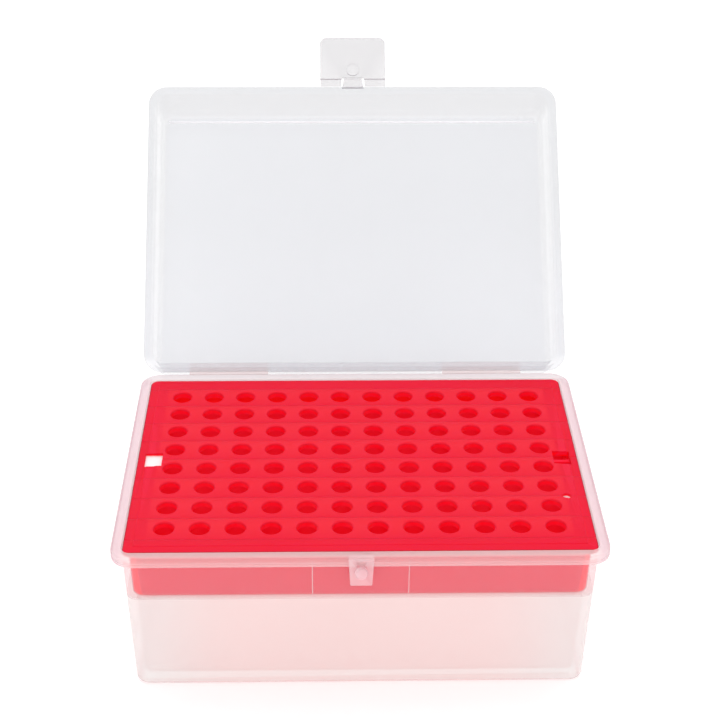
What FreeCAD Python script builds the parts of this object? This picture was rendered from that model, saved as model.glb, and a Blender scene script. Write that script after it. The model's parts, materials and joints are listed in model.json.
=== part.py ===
"""Hinged tip box of 96 places: base, rack plate, lid, latch flap and the living hinges between them.

Frame: X to the right, Y to the back (the hinge side), Z up. The origin is the centre of the underside.
The lid and everything on it are drawn closed, with the lid's hinge axis as their own X axis, and their
placement then swings them open about that axis.
"""
import FreeCAD, Part
import math
import os
import Sketcher

Vector = FreeCAD.Vector

doc = FreeCAD.newDocument("tip_box")

# ---------------------------------------------------------------------------------------------
# Driving dimensions (millimetres, degrees and counts)
# ---------------------------------------------------------------------------------------------
SIZES = [
    # outline that base and lid share
    ("rim_side", 2.9),              # rack edge to flange edge, at the ends
    ("rim_front", 3.2),             # rack edge to flange edge, at front and back
    ("flange_corner", 5.5),         # corner radius of the flange outline
    ("flange_overhang", 1.75),      # how far a flange stands out from its wall
    ("draft_angle", 2.0),           # mould draft of all upright walls
    ("edge_chamfer", 0.3),          # softened rim edges
    # base box
    ("base_height", 43.4),          # underside to the flange's top face
    ("base_flange_thick", 2.0),
    ("base_floor", 1.4),
    ("base_foot_round", 2.6),       # outer radius between wall and underside
    ("base_floor_round", 1.4),      # inner radius between wall and floor
    ("ledge_width", 0.8),           # step in the wall that the rack's skirt stands on
    # rack plate
    ("plate_margin", 9.7),          # outer holes' centres to the plate's edges
    ("rack_corner", 3.0),
    ("rack_gap", 0.25),             # clearance between rack and base wall
    ("rack_proud", 0.1),            # top face above the base flange
    ("rack_thick", 1.8),
    ("skirt_height", 13.1),         # top face to the skirt's lower edge
    ("skirt_wall", 1.0),
    ("border_width", 2.6),          # stepped-down border of the plate
    ("border_step", 0.15),
    ("tip_columns", 12),
    ("tip_rows", 8),
    ("tip_pitch", 9.0),             # standard spacing of a 96-place rack
    ("tip_hole", 5.2),              # diameter of a tip hole
    ("hole_sides", 12),             # flats of a hole, the four corner holes apart, which are round
    ("strip_width", 7.6),           # raised strip that joins a row's collars
    ("strip_rise", 0.25),
    ("rib_thick", 1.0),             # stiffening ribs under the plate
    ("rib_depth", 6.0),
    ("cross_rib_every", 3),         # columns from one cross rib to the next
    ("cross_ribs", 3),
    ("window_width", 4.2),          # two windows at the ends of the plate
    ("window_length", 6.8),
    ("window_inset", 4.3),          # plate edge to a window's middle
    ("vent_hole", 2.0),             # one small hole by the right window
    ("vent_inset", 5.2),            # plate edge to the vent
    ("vent_y", 18.2),
    ("tongue_width", 24.3),         # springy front tongue of the skirt, between two slits
    ("slit_width", 0.8),
    # front catch of the base
    ("catch_width", 6.4),
    ("catch_foot_width", 5.5),
    ("catch_height", 8.4),          # flange top to the catch's lower edge
    ("catch_proud", 0.3),           # catch face in front of the flange face
    ("catch_wall", 1.1),
    ("catch_slot_width", 2.0),      # small slot in the catch at flange level
    ("catch_slot_height", 1.4),
    ("catch_slot_drop", 1.2),       # flange top to the slot's middle
    ("catch_slot_depth", 0.8),
    ("stud_diameter", 3.0),
    ("stud_height", 0.9),
    ("stud_drop", 3.9),             # flange top to the stud's centre
    # lid
    ("lid_height", 18.0),           # flange face to the outside of the top
    ("lid_flange_thick", 1.6),
    ("lid_wall", 1.0),
    ("lid_top_thick", 1.2),
    ("lid_edge_round", 2.4),
    ("lid_inner_round", 1.4),
    ("parting_gap", 0.2),           # flange to flange when closed
    ("stub_width", 7.4),            # keeper stub at the lid's front
    ("stub_reach", 2.6),            # how far it stands out from the flange
    ("stub_pocket_margin", 1.0),
    ("stub_pocket_depth", 0.8),
    # latch flap
    ("flap_width", 20.0),
    ("flap_length", 15.9),          # flange edge to the flap's free edge, laid flat
    ("flap_thick", 1.2),
    ("flap_corner", 2.0),
    ("flap_web_length", 2.4),       # living hinge between flange and flap
    ("flap_notch_gap", 0.7),        # room that the notch leaves round the stub
    ("stud_gap", 0.5),              # room round the stud in its dimple
    ("dimple_depth", 0.6),
    # living hinges
    ("film_thick", 0.4),
    ("lid_angle", 132.4),           # how far the lid stands open
    ("hinge_gap", 0.4),             # flange edge to the lid's hinge axis
    ("hinge_rise", 0.4),            # film's middle above and below the axis when closed
    ("strap_width", 23.0),
    ("strap_inset", 25.1),          # flange end to a strap's middle
    ("strap_leaf", 0.8),            # lid flange left at the straps
]

# What follows from them: the plate carries the grid of holes, and the flanges go round the plate.
DERIVED = [
    ("column_span", "=(tip_columns - 1) * tip_pitch"),
    ("row_span", "=(tip_rows - 1) * tip_pitch"),
    ("rack_width", "=column_span + 2 * plate_margin"),
    ("rack_depth", "=row_span + 2 * plate_margin"),
    ("flange_width", "=rack_width + 2 * rim_side"),
    ("flange_depth", "=rack_depth + 2 * rim_front"),
    ("window_x", "=rack_width / 2 - window_inset"),
    ("vent_x", "=rack_width / 2 - vent_inset"),
    ("strap_x", "=flange_width / 2 - strap_inset"),
]

sheet = doc.addObject("Spreadsheet::Sheet", "Sizes")
for row, (alias, value) in enumerate(SIZES + DERIVED, start=1):
    sheet.set(f"A{row}", alias)
    sheet.set(f"B{row}", str(value))
    sheet.setAlias(f"B{row}", alias)
doc.recompute()
NAMES = [alias for alias, _ in SIZES + DERIVED]


# ---------------------------------------------------------------------------------------------
# Small helpers
# ---------------------------------------------------------------------------------------------
def expand(formula):
    """Turns the plain names of a formula into references to the sheet."""
    words = []
    word = ""
    for sign in str(formula) + " ":
        if sign.isalnum() or sign == "_":
            word += sign
            continue
        words.append("Sizes." + word if word in NAMES else word)
        words.append(sign)
        word = ""
    return "".join(words).strip()


def value_of(formula):
    """The number that a formula of the sheet's names gives."""
    return float(sheet.evalExpression(expand(formula)))


def bind(obj, prop, formula):
    obj.setExpression(prop, expand(formula))


def new_body(label):
    body = doc.addObject("PartDesign::Body", label)
    body.Label = label
    return body


def new_sketch(body, name, role, offset="0", shift_x="0", shift_y="0"):
    """A sketch on one of the body's own origin planes, moved along its normal and within itself."""
    sketch = body.newObject("Sketcher::SketchObject", name)
    plane = next(item for item in body.Origin.OriginFeatures if item.Role == role)
    sketch.AttachmentSupport = [(plane, "")]
    sketch.MapMode = "FlatFace"
    bind(sketch, "AttachmentOffset.Base.x", shift_x)
    bind(sketch, "AttachmentOffset.Base.y", shift_y)
    bind(sketch, "AttachmentOffset.Base.z", offset)
    return sketch


def dimension(sketch, kind, *args, formula):
    """A driving dimension of the sketch, bound to a formula."""
    index = sketch.addConstraint(Sketcher.Constraint(kind, *args, value_of(formula)))
    bind(sketch, f"Constraints[{index}]", formula)


def draw_rectangle(sketch, width, height):
    """A rectangle centred on the sketch's origin."""
    half_w = value_of(width) / 2
    half_h = value_of(height) / 2
    corners = [
        Vector(-half_w, -half_h, 0),
        Vector(half_w, -half_h, 0),
        Vector(half_w, half_h, 0),
        Vector(-half_w, half_h, 0),
    ]
    first = sketch.GeometryCount
    for index in range(4):
        sketch.addGeometry(Part.LineSegment(corners[index], corners[(index + 1) % 4]))
    for index in range(4):
        following = first + (index + 1) % 4
        sketch.addConstraint(Sketcher.Constraint("Coincident", first + index, 2, following, 1))
        direction = "Horizontal" if index % 2 == 0 else "Vertical"
        sketch.addConstraint(Sketcher.Constraint(direction, first + index))
    sketch.addConstraint(Sketcher.Constraint("Symmetric", first, 1, first + 2, 1, -1, 1))
    dimension(sketch, "DistanceX", first, 1, first, 2, formula=width)
    dimension(sketch, "DistanceY", first + 1, 1, first + 1, 2, formula=height)


def draw_rounded_rectangle(sketch, width, height, radius):
    """A rectangle with round corners, centred on the sketch's origin."""
    half_w = value_of(width) / 2
    half_h = value_of(height) / 2
    round_r = value_of(radius)
    flat_w = half_w - round_r
    flat_h = half_h - round_r
    lines = [
        (Vector(-flat_w, -half_h, 0), Vector(flat_w, -half_h, 0)),
        (Vector(half_w, -flat_h, 0), Vector(half_w, flat_h, 0)),
        (Vector(flat_w, half_h, 0), Vector(-flat_w, half_h, 0)),
        (Vector(-half_w, flat_h, 0), Vector(-half_w, -flat_h, 0)),
    ]
    centres = [(flat_w, -flat_h, -90), (flat_w, flat_h, 0), (-flat_w, flat_h, 90), (-flat_w, -flat_h, 180)]
    for (start, end), (cx, cy, turn) in zip(lines, centres):
        sketch.addGeometry(Part.LineSegment(start, end))
        circle = Part.Circle(Vector(cx, cy, 0), Vector(0, 0, 1), round_r)
        sketch.addGeometry(Part.ArcOfCircle(circle, math.radians(turn), math.radians(turn + 90)))
    for index in range(4):
        line = 2 * index
        arc = line + 1
        next_line = (line + 2) % 8
        sketch.addConstraint(Sketcher.Constraint("Tangent", line, 2, arc, 1))
        sketch.addConstraint(Sketcher.Constraint("Tangent", arc, 2, next_line, 1))
    sketch.addConstraint(Sketcher.Constraint("Horizontal", 0))
    sketch.addConstraint(Sketcher.Constraint("Horizontal", 4))
    sketch.addConstraint(Sketcher.Constraint("Vertical", 2))
    sketch.addConstraint(Sketcher.Constraint("Vertical", 6))
    for arc in (3, 5, 7):
        sketch.addConstraint(Sketcher.Constraint("Equal", 1, arc))
    sketch.addConstraint(Sketcher.Constraint("Symmetric", 3, 3, 7, 3, -1, 1))
    dimension(sketch, "Radius", 1, formula=radius)
    dimension(sketch, "DistanceX", 6, 1, 2, 1, formula=width)
    dimension(sketch, "DistanceY", 0, 1, 4, 1, formula=height)


def draw_circle(sketch, diameter):
    """A circle centred on the sketch's origin."""
    sketch.addGeometry(Part.Circle(Vector(0, 0, 0), Vector(0, 0, 1), value_of(diameter) / 2))
    sketch.addConstraint(Sketcher.Constraint("Coincident", 0, 3, -1, 1))
    dimension(sketch, "Diameter", 0, formula=diameter)


def draw_polygon(sketch, sides, width):
    """A regular polygon about the sketch's origin, as wide across its flats as the width says."""
    count = int(value_of(sides))
    over_corners = f"{width} / cos(180 / {sides})"
    reach = value_of(over_corners) / 2
    turns = [2 * math.pi * index / count for index in range(count)]
    corners = [Vector(reach * math.cos(turn), reach * math.sin(turn), 0) for turn in turns]
    for index in range(count):
        sketch.addGeometry(Part.LineSegment(corners[index], corners[(index + 1) % count]))
    sketch.addGeometry(Part.Circle(Vector(0, 0, 0), Vector(0, 0, 1), reach), True)
    for index in range(count):
        sketch.addConstraint(Sketcher.Constraint("Coincident", index, 2, (index + 1) % count, 1))
        sketch.addConstraint(Sketcher.Constraint("PointOnObject", index, 1, count))
    for index in range(1, count):
        sketch.addConstraint(Sketcher.Constraint("Equal", 0, index))
    sketch.addConstraint(Sketcher.Constraint("Coincident", count, 3, -1, 1))
    sketch.addConstraint(Sketcher.Constraint("PointOnObject", 0, 1, -1))
    dimension(sketch, "Diameter", count, formula=over_corners)


def extrude(body, kind, name, sketch, length, reverse=False, taper=None):
    """A Pad or a Pocket of the sketch; it must change the body's volume."""
    before = body.Tip.Shape.Volume if body.Tip else 0.0
    feature = body.newObject(f"PartDesign::{kind}", name)
    feature.Profile = sketch
    feature.Reversed = reverse
    bind(feature, "Length", length)
    if taper:
        bind(feature, "TaperAngle", taper)
    doc.recompute()
    change = feature.Shape.Volume - before
    if (change <= 0) if kind == "Pad" else (change >= 0):
        raise RuntimeError(f"{body.Label}: {name} adds or cuts nothing")
    return feature


# A pattern's list of spacings holds this where a gap is the pattern's plain offset.
EVEN = -1.0


def repeat(body, name, original, sketch, direction, step, count, step_2=None, count_2=None):
    """A row of copies of a feature, or rows of rows, along the sketch's axes."""
    pattern = body.newObject("PartDesign::LinearPattern", name)
    pattern.Originals = [original]
    pattern.Direction = (sketch, [direction])
    pattern.Mode = "Spacing"
    bind(pattern, "Offset", step)
    bind(pattern, "Occurrences", count)
    if count_2:
        pattern.Direction2 = (sketch, ["V_Axis"])
        pattern.Mode2 = "Spacing"
        bind(pattern, "Offset2", step_2)
        bind(pattern, "Occurrences2", count_2)
        pattern.Spacings2 = [EVEN] * (int(value_of(count_2)) - 1)
    body.Tip = pattern
    doc.recompute()
    return pattern


def mirror(body, name, original, role):
    copy = body.newObject("PartDesign::Mirrored", name)
    plane = next(item for item in body.Origin.OriginFeatures if item.Role == role)
    copy.Originals = [original]
    copy.MirrorPlane = (plane, [""])
    body.Tip = copy
    doc.recompute()
    return copy


def soften(body, kind, name, size, wanted):
    """A Fillet or a Chamfer on the edges whose bounding box passes the test."""
    base = body.Tip
    found = [f"Edge{i}" for i, edge in enumerate(base.Shape.Edges, start=1) if wanted(edge.BoundBox)]
    if not found:
        raise RuntimeError(f"{body.Label}: {name} finds no edge")
    feature = body.newObject(f"PartDesign::{kind}", name)
    feature.Base = (base, found)
    bind(feature, "Radius" if kind == "Fillet" else "Size", size)
    doc.recompute()
    return feature


def level_with(height):
    """A test for edges that lie flat at one height."""
    return lambda box: abs(box.ZMin - height) < 1e-4 and abs(box.ZMax - height) < 1e-4


# ---------------------------------------------------------------------------------------------
# Base box: drafted tub, ledge, rim flange, front catch
# ---------------------------------------------------------------------------------------------
flange_under = "(base_height - base_flange_thick)"
wall_width = "(flange_width - 2 * flange_overhang)"
wall_depth = "(flange_depth - 2 * flange_overhang)"
wall_corner = "(flange_corner - flange_overhang)"
opening_width = "(rack_width + 2 * rack_gap)"
opening_depth = "(rack_depth + 2 * rack_gap)"
opening_corner = "(rack_corner + rack_gap)"
rack_top = "(base_height + rack_proud)"
ledge_level = f"({rack_top} - skirt_height)"

base = new_body("base_box")
sketch = new_sketch(base, "wall_outline", "XY_Plane", flange_under)
draw_rounded_rectangle(sketch, wall_width, wall_depth, wall_corner)
extrude(base, "Pad", "outer_wall", sketch, flange_under, reverse=True, taper="-draft_angle")
soften(base, "Fillet", "foot_edge", "base_foot_round", level_with(0))

sketch = new_sketch(base, "flange_outline", "XY_Plane", flange_under)
draw_rounded_rectangle(sketch, "flange_width", "flange_depth", "flange_corner")
extrude(base, "Pad", "rim_flange", sketch, "base_flange_thick")
soften(base, "Chamfer", "rim_edge", "edge_chamfer", level_with(value_of("base_height")))

sketch = new_sketch(base, "rack_seat_outline", "XY_Plane", "base_height")
draw_rounded_rectangle(sketch, opening_width, opening_depth, opening_corner)
seat_height = "(skirt_height - rack_proud)"
extrude(base, "Pocket", "rack_seat", sketch, seat_height, taper="-draft_angle")

seat_inset = f"(2 * {seat_height} * tan(draft_angle) + 2 * ledge_width)"
sketch = new_sketch(base, "cavity_outline", "XY_Plane", ledge_level)
draw_rounded_rectangle(
    sketch, f"{opening_width} - {seat_inset}", f"{opening_depth} - {seat_inset}", opening_corner
)
extrude(base, "Pocket", "cavity", sketch, f"{ledge_level} - base_floor", taper="-draft_angle")
soften(base, "Fillet", "floor_edge", "base_floor_round", level_with(value_of("base_floor")))

# The catch is a plate that hangs from the flange, narrower at its foot, with two gussets back to the wall.
catch_face = "(flange_depth / 2 + catch_proud)"
sketch = new_sketch(base, "catch_outline", "XZ_Plane", catch_face, shift_y="base_height - catch_height")
half_top = value_of("catch_width / 2")
half_foot = value_of("catch_foot_width / 2")
tall = value_of("catch_height - edge_chamfer")
outline = [Vector(-half_foot, 0, 0), Vector(half_foot, 0, 0), Vector(half_top, tall, 0), Vector(-half_top, tall, 0)]
for index in range(4):
    sketch.addGeometry(Part.LineSegment(outline[index], outline[(index + 1) % 4]))
for index in range(4):
    sketch.addConstraint(Sketcher.Constraint("Coincident", index, 2, (index + 1) % 4, 1))
sketch.addConstraint(Sketcher.Constraint("Symmetric", 0, 1, 0, 2, -1, 1))
sketch.addConstraint(Sketcher.Constraint("Symmetric", 2, 1, 2, 2, -2))
dimension(sketch, "DistanceX", 0, 1, 0, 2, formula="catch_foot_width")
dimension(sketch, "DistanceX", 2, 2, 2, 1, formula="catch_width")
dimension(sketch, "DistanceY", -1, 1, 2, 1, formula="catch_height - edge_chamfer")
catch_run = "(catch_proud + flange_overhang + catch_height * tan(draft_angle))"
extrude(base, "Pad", "catch_block", sketch, catch_run, reverse=True)

sketch = new_sketch(
    base,
    "catch_hollow_outline",
    "XZ_Plane",
    f"{catch_face} - catch_wall",
    shift_y=f"({flange_under} + base_height - catch_height) / 2",
)
draw_rectangle(sketch, "catch_foot_width - 2 * catch_wall", f"catch_height - base_flange_thick")
hollow_run = "(catch_proud + flange_overhang - catch_wall)"
extrude(base, "Pocket", "catch_hollow", sketch, hollow_run)

sketch = new_sketch(base, "catch_slot_outline", "XZ_Plane", catch_face, shift_y="base_height - catch_slot_drop")
draw_rectangle(sketch, "catch_slot_width", "catch_slot_height")
extrude(base, "Pocket", "catch_slot", sketch, "catch_slot_depth")

sketch = new_sketch(base, "stud_outline", "XZ_Plane", catch_face, shift_y="base_height - stud_drop")
draw_circle(sketch, "stud_diameter")
extrude(base, "Pad", "catch_stud", sketch, "stud_height")


# ---------------------------------------------------------------------------------------------
# Rack plate: skirted plate, raised strips, 96 holes, ribs, windows, front tongue
# ---------------------------------------------------------------------------------------------
field_level = f"({rack_top} - strip_rise)"
border_level = f"({field_level} - border_step)"
plate_under = f"({rack_top} - rack_thick)"

rack = new_body("rack_plate")
sketch = new_sketch(rack, "rack_outline", "XY_Plane", border_level)
draw_rounded_rectangle(sketch, "rack_width", "rack_depth", "rack_corner")
skirt_run = "(skirt_height - strip_rise - border_step)"
extrude(rack, "Pad", "rack_block", sketch, skirt_run, reverse=True, taper="-draft_angle")

sketch = new_sketch(rack, "field_outline", "XY_Plane", border_level)
draw_rounded_rectangle(sketch, "rack_width - 2 * border_width", "rack_depth - 2 * border_width", "rack_corner")
extrude(rack, "Pad", "raised_field", sketch, "border_step")

sketch = new_sketch(rack, "skirt_inside", "XY_Plane", plate_under)
skirt_inset = "(2 * rack_thick * tan(draft_angle) + 2 * skirt_wall)"
draw_rounded_rectangle(
    sketch, f"rack_width - {skirt_inset}", f"rack_depth - {skirt_inset}", "rack_corner - skirt_wall"
)
extrude(rack, "Pocket", "skirt_hollow", sketch, f"{plate_under} - {ledge_level}", taper="-draft_angle")

first_column = "-column_span / 2"
first_row = "-row_span / 2"
sketch = new_sketch(rack, "strip_outline", "XY_Plane", field_level, shift_y=first_row)
draw_rectangle(sketch, "column_span + strip_width", "strip_width")
strip = extrude(rack, "Pad", "row_strip", sketch, "strip_rise")
repeat(rack, "row_strips", strip, sketch, "V_Axis", "tip_pitch", "tip_rows")

# The ribs run from the first column to the right skirt, so the left window stays open below.
rib_left = "(column_span + tip_hole) / 2"
rib_right = "((rack_width - skirt_wall) / 2 - (rack_thick + rib_depth) * tan(draft_angle))"
sketch = new_sketch(
    rack,
    "row_rib_outline",
    "XY_Plane",
    plate_under,
    shift_x=f"({rib_right} - {rib_left}) / 2",
    shift_y=f"{first_row} + tip_pitch / 2",
)
draw_rectangle(sketch, f"{rib_right} + {rib_left}", "rib_thick")
rib = extrude(rack, "Pad", "row_rib", sketch, "rib_depth", reverse=True)
repeat(rack, "row_ribs", rib, sketch, "V_Axis", "tip_pitch", "tip_rows - 1")

cross_step = "(cross_rib_every * tip_pitch)"
sketch = new_sketch(
    rack, "cross_rib_outline", "XY_Plane", plate_under, shift_x=f"-(cross_ribs - 1) * {cross_step} / 2"
)
cross_run = "(rack_depth - 2 * rack_thick * tan(draft_angle) - skirt_wall)"
draw_rectangle(sketch, "rib_thick", f"{cross_run} - 2 * rib_depth * tan(draft_angle)")
cross_rib = extrude(rack, "Pad", "cross_rib", sketch, "rib_depth", reverse=True)
repeat(rack, "cross_ribs_all", cross_rib, sketch, "H_Axis", cross_step, "cross_ribs")

sketch = new_sketch(rack, "window_outline", "XY_Plane", rack_top, shift_x="-window_x")
draw_rectangle(sketch, "window_width", "window_length")
window = extrude(rack, "Pocket", "end_window", sketch, "rack_thick")
mirror(rack, "end_windows", window, "YZ_Plane")

sketch = new_sketch(rack, "vent_outline", "XY_Plane", rack_top, shift_x="vent_x", shift_y="-vent_y")
draw_circle(sketch, "vent_hole")
extrude(rack, "Pocket", "vent", sketch, "rack_thick")

slit_run = "(skirt_height - 2 * rack_thick)"
sketch = new_sketch(
    rack,
    "slit_outline",
    "XZ_Plane",
    "rack_depth / 2",
    shift_x="-tongue_width / 2",
    shift_y=f"{ledge_level} + {slit_run} / 2",
)
draw_rectangle(sketch, "slit_width", slit_run)
slit = extrude(rack, "Pocket", "tongue_slit", sketch, "skirt_wall + skirt_height * tan(draft_angle)")
mirror(rack, "tongue_slits", slit, "YZ_Plane")

# The holes come in three grids: the corners, the end columns between them, and the inner columns.
HOLE_GRIDS = [
    ("corner", "0", "0", "column_span", "2", "row_span", "2"),
    ("end", "0", "tip_pitch", "column_span", "2", "tip_pitch", "tip_rows - 2"),
    ("inner", "tip_pitch", "0", "tip_pitch", "tip_columns - 2", "tip_pitch", "tip_rows"),
]
for name, start_x, start_y, step_x, count_x, step_y, count_y in HOLE_GRIDS:
    sketch = new_sketch(
        rack,
        f"{name}_hole_outline",
        "XY_Plane",
        rack_top,
        shift_x=f"{first_column} + {start_x}",
        shift_y=f"{first_row} + {start_y}",
    )
    if name == "corner":
        draw_circle(sketch, "tip_hole")
    else:
        draw_polygon(sketch, "hole_sides", "tip_hole")
    hole = extrude(rack, "Pocket", f"{name}_hole", sketch, "rack_thick")
    repeat(rack, f"{name}_holes", hole, sketch, "H_Axis", step_x, count_x, step_y, count_y)


# ---------------------------------------------------------------------------------------------
# Lid, latch flap and their hinges, drawn closed about the lid's own hinge axis
# ---------------------------------------------------------------------------------------------
axis_y = "(flange_depth / 2 + hinge_gap)"
axis_z = "(base_height + parting_gap / 2)"
lid_face = "(parting_gap / 2)"
lid_middle = f"(-{axis_y})"
lid_front = "(-(flange_depth + hinge_gap))"


def swing_open(body):
    """Places a body that is drawn about the hinge axis, turned open by the lid's angle."""
    body.Placement = FreeCAD.Placement(Vector(0, 0, 0), FreeCAD.Rotation(Vector(-1, 0, 0), value_of("lid_angle")))
    bind(body, "Placement.Base.y", axis_y)
    bind(body, "Placement.Base.z", axis_z)
    bind(body, "Placement.Rotation.Angle", "lid_angle")


lid = new_body("lid_shell")
sketch = new_sketch(lid, "lid_wall_outline", "XY_Plane", f"{lid_face} + lid_flange_thick", shift_y=lid_middle)
draw_rounded_rectangle(sketch, wall_width, wall_depth, wall_corner)
extrude(lid, "Pad", "lid_walls", sketch, "lid_height - lid_flange_thick", taper="-draft_angle")
soften(lid, "Fillet", "lid_top_edge", "lid_edge_round", level_with(value_of(f"{lid_face} + lid_height")))

sketch = new_sketch(lid, "lid_flange_outline", "XY_Plane", lid_face, shift_y=lid_middle)
draw_rounded_rectangle(sketch, "flange_width", "flange_depth", "flange_corner")
extrude(lid, "Pad", "lid_flange", sketch, "lid_flange_thick")
soften(lid, "Chamfer", "lid_rim_edge", "edge_chamfer", level_with(value_of(lid_face)))

lid_inset = "(2 * flange_overhang + 2 * lid_wall)"
sketch = new_sketch(lid, "lid_cavity_outline", "XY_Plane", lid_face, shift_y=lid_middle)
draw_rounded_rectangle(
    sketch,
    f"flange_width - {lid_inset}",
    f"flange_depth - {lid_inset}",
    f"{wall_corner} - lid_wall",
)
extrude(lid, "Pocket", "lid_cavity", sketch, "lid_height - lid_top_thick", reverse=True, taper="-draft_angle")
ceiling = value_of(f"{lid_face} + lid_height - lid_top_thick")
soften(lid, "Fillet", "ceiling_edge", "lid_inner_round", level_with(ceiling))

sketch = new_sketch(
    lid,
    "leaf_relief_outline",
    "XY_Plane",
    f"{lid_face} + strap_leaf",
    shift_x="-strap_x",
    shift_y=f"-hinge_gap - flange_overhang / 2",
)
draw_rectangle(sketch, "strap_width + 2 * edge_chamfer", "flange_overhang")
relief = extrude(lid, "Pocket", "leaf_relief", sketch, "lid_flange_thick - strap_leaf", reverse=True)
mirror(lid, "leaf_reliefs", relief, "YZ_Plane")

sketch = new_sketch(
    lid, "stub_outline", "XY_Plane", lid_face, shift_y=f"{lid_front} + (flange_overhang - stub_reach) / 2"
)
draw_rectangle(sketch, "stub_width", "stub_reach + flange_overhang")
extrude(lid, "Pad", "keeper_stub", sketch, "lid_flange_thick")
sketch = new_sketch(
    lid, "stub_pocket_outline", "XY_Plane", lid_face, shift_y=f"{lid_front} + (flange_overhang - stub_reach) / 2"
)
draw_rectangle(
    sketch, "stub_width - 2 * stub_pocket_margin", "stub_reach + flange_overhang - 2 * stub_pocket_margin"
)
extrude(lid, "Pocket", "stub_pocket", sketch, "stub_pocket_depth", reverse=True)
swing_open(lid)

flap = new_body("latch_flap")
flap_run = "(flap_length - flap_web_length)"
sketch = new_sketch(
    flap, "flap_outline", "XY_Plane", lid_face, shift_y=f"{lid_front} - (flap_length + flap_web_length) / 2"
)
draw_rectangle(sketch, "flap_width", flap_run)
extrude(flap, "Pad", "flap_plate", sketch, "flap_thick")
free_edge = value_of(f"{lid_front} - flap_length")
soften(
    flap,
    "Fillet",
    "flap_corners",
    "flap_corner",
    lambda box: box.ZLength > 0.5 and abs(box.YMin - free_edge) < 1e-4 and box.YLength < 1e-4,
)
sketch = new_sketch(flap, "flap_notch_outline", "XY_Plane", lid_face, shift_y=f"{lid_front} - stub_reach")
draw_rectangle(sketch, "stub_width + 2 * flap_notch_gap", "2 * flap_notch_gap")
extrude(flap, "Pocket", "flap_notch", sketch, "flap_thick", reverse=True)
pivot_reach = "(flap_web_length / 2)"
pivot_level = "(film_thick / 2)"
dimple_reach = f"({pivot_reach} + stud_drop + parting_gap + {pivot_level})"
sketch = new_sketch(flap, "dimple_outline", "XY_Plane", lid_face, shift_y=f"{lid_front} - {dimple_reach}")
draw_circle(sketch, "stud_diameter + 2 * stud_gap")
extrude(flap, "Pocket", "stud_dimple", sketch, "dimple_depth", reverse=True)
swing_open(flap)

# Each side of the stub, a thin web joins the lid's flange to the flap.
web_inner = "(stub_width / 2 + flap_notch_gap)"
web_outer = "(flap_width / 2 - edge_chamfer)"
for side, sign in (("left", "-"), ("right", "")):
    web = new_body(f"latch_strap_{side}")
    sketch = new_sketch(
        web,
        f"web_outline_{side}",
        "XY_Plane",
        lid_face,
        shift_x=f"{sign}({web_inner} + {web_outer}) / 2",
        shift_y=f"{lid_front} - flap_web_length / 2",
    )
    draw_rectangle(sketch, f"{web_outer} - {web_inner}", "flap_web_length")
    extrude(web, "Pad", f"web_{side}", sketch, "film_thick")
    swing_open(web)

# The lid's straps leave the base flange level and bend up in one arc to the edge of the opened lid.
arc_rise = "(hinge_gap * tan(lid_angle / 2))"
arc_radius = f"(hinge_rise + {arc_rise})"
for side, sign in (("left", "-"), ("right", "")):
    strap = new_body(f"hinge_strap_{side}")
    sketch = new_sketch(
        strap, f"strap_section_{side}", "XZ_Plane", shift_x=f"{sign}strap_x", shift_y=f"-{arc_radius}"
    )
    draw_rectangle(sketch, "strap_width", "film_thick")
    bend = strap.newObject("PartDesign::Revolution", f"strap_bend_{side}")
    bend.Profile = sketch
    bend.ReferenceAxis = (next(item for item in strap.Origin.OriginFeatures if item.Role == "X_Axis"), [""])
    bind(bend, "Angle", "180 - lid_angle")
    bind(strap, "Placement.Base.y", "flange_depth / 2")
    bind(strap, "Placement.Base.z", f"{axis_z} + {arc_rise}")
    doc.recompute()


# ---------------------------------------------------------------------------------------------
# Check and export
# ---------------------------------------------------------------------------------------------
doc.recompute()
for item in doc.Objects:
    if {"Invalid", "Error"} & set(item.State):
        raise RuntimeError(f"{item.Name} failed: {item.State}")

os.makedirs("parts", exist_ok=True)
for body in doc.Objects:
    if body.TypeId != "PartDesign::Body":
        continue
    shape = body.Shape
    if shape.isNull() or not shape.isValid() or len(shape.Solids) != 1:
        raise RuntimeError(f"{body.Label} is not one sound solid")
    shape.exportStep(f"parts/{body.Label}.step")
    box = shape.BoundBox
    print(
        f"{body.Label}: {shape.Volume / 1000:.2f} cm3, "
        f"x {box.XMin:.2f}..{box.XMax:.2f}, y {box.YMin:.2f}..{box.YMax:.2f}, z {box.ZMin:.2f}..{box.ZMax:.2f}"
    )
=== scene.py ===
# %% [markdown]
# # A hinged box for pipette tips
# The box is a clear tub that carries a bright red rack plate, with a clear lid on two film hinges
# and a small latch flap at the lid's front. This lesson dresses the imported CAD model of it. The
# first cell loads that model, which gives every place and size; nothing here moves it.

# %% Load the frame
import json
import math

import bmesh
import bpy
from mathutils import Matrix, Vector


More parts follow.
